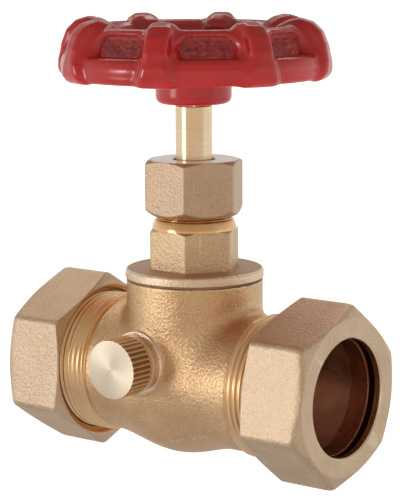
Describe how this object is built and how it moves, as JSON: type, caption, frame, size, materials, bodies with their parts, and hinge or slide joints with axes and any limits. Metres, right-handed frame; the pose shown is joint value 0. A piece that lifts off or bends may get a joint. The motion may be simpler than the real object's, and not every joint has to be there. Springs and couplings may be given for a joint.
{
  "type": "stop valve with drain plug",
  "caption": "Brass globe stop valve for 28 mm copper tube, with compression ends, a knurled drain plug and a red handwheel on a rising spindle.",
  "frame": {"origin": "where the tube axis crosses the spindle axis, inside the body", "axes": "+X along the tube axis to the inlet, -Y the way the drain plug faces, +Z along the spindle to the handwheel"},
  "size_m": [0.0911, 0.0648, 0.1105],
  "materials": {
    "forged_brass": "hot-forged and shot-blasted, matt and grainy",
    "turned_brass": "turned, bright, with fine tool marks",
    "copper": "rolled copper, bright",
    "red_enamel": "thick glossy red enamel on a die casting",
    "rubber": "moulded, matt",
    "fibre": "pressed vulcanised fibre, matt",
    "graphite_packing": "graphited cord, pressed",
    "zinc_steel": "zinc-plated, satin"
  },
  "bodies": {
    "valve_body": {"body_casting": "forged_brass", "bonnet_gasket": "fibre", "bonnet": "forged_brass", "gland_packing": "graphite_packing"},
    "jumper": {"jumper": "turned_brass", "jumper_washer": "rubber", "jumper_washer_nut": "turned_brass"},
    "spindle": {"spindle": "turned_brass", "jumper_clip": "zinc_steel", "handwheel": "red_enamel", "handwheel_washer": "zinc_steel", "handwheel_nut": "zinc_steel"},
    "gland_follower": {"gland_follower": "turned_brass"},
    "gland_nut": {"gland_nut": "forged_brass"},
    "inlet_olive": {"inlet_olive": "copper"},
    "inlet_nut": {"inlet_compression_nut": "forged_brass"},
    "outlet_olive": {"outlet_olive": "copper"},
    "outlet_nut": {"outlet_compression_nut": "forged_brass"},
    "drain_seal": {"drain_seal": "copper"},
    "drain_plug": {"drain_plug": "turned_brass"}
  },
  "joints": [
    {"name": "jumper_lift", "type": "slide", "parent": "valve_body", "child": "jumper", "axis": [0, 0, 1], "range_m": [-0.01, 0]},
    {"name": "handwheel_turn", "type": "hinge", "parent": "jumper", "child": "spindle", "pos_m": [0, 0, 0.05], "axis": [0, 0, 1], "range_deg": [-1800, 0]},
    {"name": "gland_follower_press", "type": "slide", "parent": "valve_body", "child": "gland_follower", "axis": [0, 0, 1], "range_m": [-0.0006, 0.003], "deforming": ["gland_packing"]},
    {"name": "gland_nut_turn", "type": "hinge", "parent": "gland_follower", "child": "gland_nut", "pos_m": [0, 0, 0.047], "axis": [0, 0, 1], "range_deg": [-144, 720]},
    {"name": "inlet_olive_slide", "type": "slide", "parent": "valve_body", "child": "inlet_olive", "axis": [1, 0, 0], "range_m": [0, 0.006]},
    {"name": "inlet_nut_turn", "type": "hinge", "parent": "inlet_olive", "child": "inlet_nut", "pos_m": [0.037, 0, 0], "axis": [1, 0, 0], "range_deg": [0, 1440]},
    {"name": "outlet_olive_slide", "type": "slide", "parent": "valve_body", "child": "outlet_olive", "axis": [-1, 0, 0], "range_m": [0, 0.006]},
    {"name": "outlet_nut_turn", "type": "hinge", "parent": "outlet_olive", "child": "outlet_nut", "pos_m": [-0.037, 0, 0], "axis": [-1, 0, 0], "range_deg": [0, 1440]},
    {"name": "drain_seal_slide", "type": "slide", "parent": "valve_body", "child": "drain_seal", "axis": [0, -1, 0], "range_m": [0, 0.005]},
    {"name": "drain_plug_turn", "type": "hinge", "parent": "drain_seal", "child": "drain_plug", "pos_m": [-0.0044, -0.022, 0.005], "axis": [0, -1, 0], "range_deg": [0, 1800]}
  ],
  "couplings": [
    {"joint": "jumper_lift", "follows": "handwheel_turn", "m_per_rad": 0.00031831},
    {"joint": "gland_follower_press", "follows": "gland_nut_turn", "m_per_rad": 0.00023873},
    {"joint": "inlet_olive_slide", "follows": "inlet_nut_turn", "m_per_rad": 0.00023873},
    {"joint": "outlet_olive_slide", "follows": "outlet_nut_turn", "m_per_rad": 0.00023873},
    {"joint": "drain_plug_turn", "follows": "drain_seal_slide", "rad_per_m": 6283.2}
  ]
}
